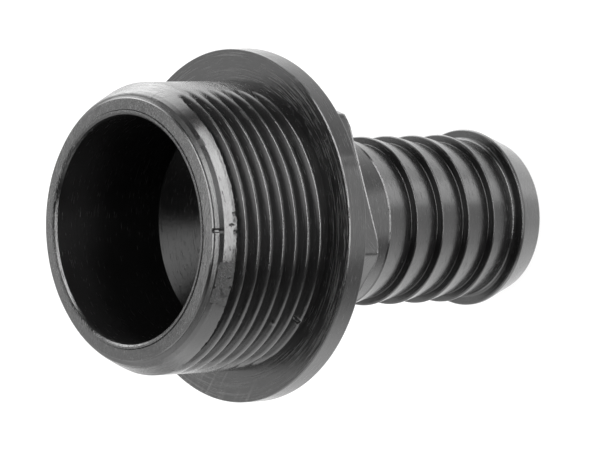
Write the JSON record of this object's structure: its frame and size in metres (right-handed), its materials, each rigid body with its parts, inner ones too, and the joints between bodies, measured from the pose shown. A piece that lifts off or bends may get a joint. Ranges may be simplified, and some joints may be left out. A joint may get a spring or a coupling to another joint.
{
  "type": "hose end fitting",
  "caption": "One-piece black plastic hose end fitting: male pipe thread, flange, spanner hexagon and a barbed tail for a push-on hose.",
  "frame": {"origin": "on the fitting's axis, in the plane of the flange's sealing face at the foot of the thread", "axes": "+Z along the axis towards the thread end, -Z towards the hose tail, +X through a corner of the spanner hexagon"},
  "size_m": [0.0512, 0.0512, 0.0706],
  "materials": {
    "black_plastic": "satin moulded black plastic with light rubbing, fine scratches and a little flash"
  },
  "bodies": {
    "root": {"hose_tail_fitting": "black_plastic"}
  },
  "joints": []
}
